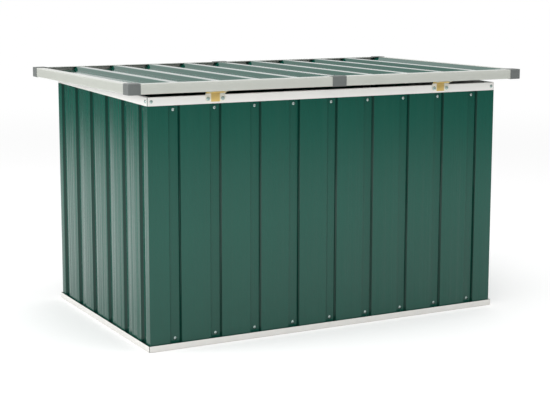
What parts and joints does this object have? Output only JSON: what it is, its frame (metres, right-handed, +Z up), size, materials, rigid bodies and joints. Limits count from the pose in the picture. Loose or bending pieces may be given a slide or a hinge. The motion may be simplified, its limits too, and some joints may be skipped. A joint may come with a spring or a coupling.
{
  "type": "garden storage box",
  "caption": "Low rectangular garden storage box with corrugated green steel walls in white rails and an overhanging ribbed lid on butt hinges and gas struts.",
  "frame": {"origin": "on the ground, under the middle of the box and its lid", "axes": "+X along the long side, +Y from the hinge side to the opening side, +Z up"},
  "size_m": [1.62, 0.99, 0.93],
  "materials": {
    "green_sheet": "satin",
    "white_rail": "satin",
    "lid_rail": "satin",
    "grey_plastic": "moulded",
    "hinge_brass": "plated",
    "screw_steel": "zinc plated",
    "galvanised_steel": "galvanised",
    "pad_rubber": "matte",
    "strut_black": "gloss",
    "rod_chrome": "polished"
  },
  "bodies": {
    "box": {"base_rail_rear": "white_rail", "top_rail_rear": "white_rail", "wall_screws_rear": "screw_steel", "base_rail_right": "white_rail", "top_rail_right": "white_rail", "wall_screws_right": "screw_steel", "base_rail_front": "white_rail", "top_rail_front": "white_rail", "wall_screws_front": "screw_steel", "base_rail_left": "white_rail", "top_rail_left": "white_rail", "wall_screws_left": "screw_steel", "corner_post_rear_left": "galvanised_steel", "corner_post_rear_right": "galvanised_steel", "corner_post_front_right": "galvanised_steel", "corner_post_front_left": "galvanised_steel", "wall_left": "green_sheet", "wall_right": "green_sheet", "wall_rear_left": "green_sheet", "wall_rear_right": "green_sheet", "wall_front_left": "green_sheet", "wall_front_right": "green_sheet", "floor_left": "galvanised_steel", "hinge_lower_leaf_left": "hinge_brass", "hinge_pin_left": "screw_steel", "strut_lower_bracket_left": "galvanised_steel", "floor_right": "galvanised_steel", "hinge_lower_leaf_right": "hinge_brass", "hinge_pin_right": "screw_steel", "strut_lower_bracket_right": "galvanised_steel", "floor_joists": "galvanised_steel", "corner_screws": "screw_steel", "hinge_screws_lower": "screw_steel", "lid_pads": "pad_rubber"},
    "lid": {"corner_cap_rear_left": "grey_plastic", "corner_cap_rear_right": "grey_plastic", "corner_cap_front_right": "grey_plastic", "corner_cap_front_left": "grey_plastic", "lid_rail_left": "lid_rail", "lid_rail_right": "lid_rail", "joint_cover_rear": "grey_plastic", "lid_rail_rear_left": "lid_rail", "lid_rail_rear_right": "lid_rail", "joint_cover_front": "grey_plastic", "lid_rail_front_left": "lid_rail", "lid_rail_front_right": "lid_rail", "lid_sheet_left": "green_sheet", "lid_brace_left": "galvanised_steel", "hinge_upper_leaf_left": "hinge_brass", "strut_upper_bracket_left": "galvanised_steel", "lid_sheet_right": "green_sheet", "lid_brace_right": "galvanised_steel", "hinge_upper_leaf_right": "hinge_brass", "strut_upper_bracket_right": "galvanised_steel", "lid_brace_centre": "galvanised_steel", "hinge_screws_upper": "screw_steel"},
    "strut_tube_left": {"strut_tube_left": "strut_black"},
    "strut_rod_left": {"strut_rod_left": "rod_chrome"},
    "strut_tube_right": {"strut_tube_right": "strut_black"},
    "strut_rod_right": {"strut_rod_right": "rod_chrome"}
  },
  "joints": [
    {"name": "lid_hinge", "type": "hinge", "parent": "box", "child": "lid", "pos_m": [0, -0.4527, 0.8888], "axis": [1, 0, 0], "range_deg": [0, 75]},
    {"name": "strut_tube_left_pivot", "type": "hinge", "parent": "box", "child": "strut_tube_left", "pos_m": [-0.69, -0.4325, 0.51298], "axis": [1, 0, 0], "range_deg": [0, 37.5]},
    {"name": "strut_rod_left_pivot", "type": "hinge", "parent": "lid", "child": "strut_rod_left", "pos_m": [-0.69, -0.07636, 0.885], "axis": [1, 0, 0], "range_deg": [-37.5, 0]},
    {"name": "strut_tube_right_pivot", "type": "hinge", "parent": "box", "child": "strut_tube_right", "pos_m": [0.69, -0.4325, 0.51298], "axis": [1, 0, 0], "range_deg": [0, 37.5]},
    {"name": "strut_rod_right_pivot", "type": "hinge", "parent": "lid", "child": "strut_rod_right", "pos_m": [0.69, -0.07636, 0.885], "axis": [1, 0, 0], "range_deg": [-37.5, 0]}
  ],
  "couplings": [
    {"joint": "strut_tube_left_pivot", "follows": "lid_hinge", "ratio": 0.5},
    {"joint": "strut_rod_left_pivot", "follows": "lid_hinge", "ratio": -0.5},
    {"joint": "strut_tube_right_pivot", "follows": "lid_hinge", "ratio": 0.5},
    {"joint": "strut_rod_right_pivot", "follows": "lid_hinge", "ratio": -0.5}
  ]
}
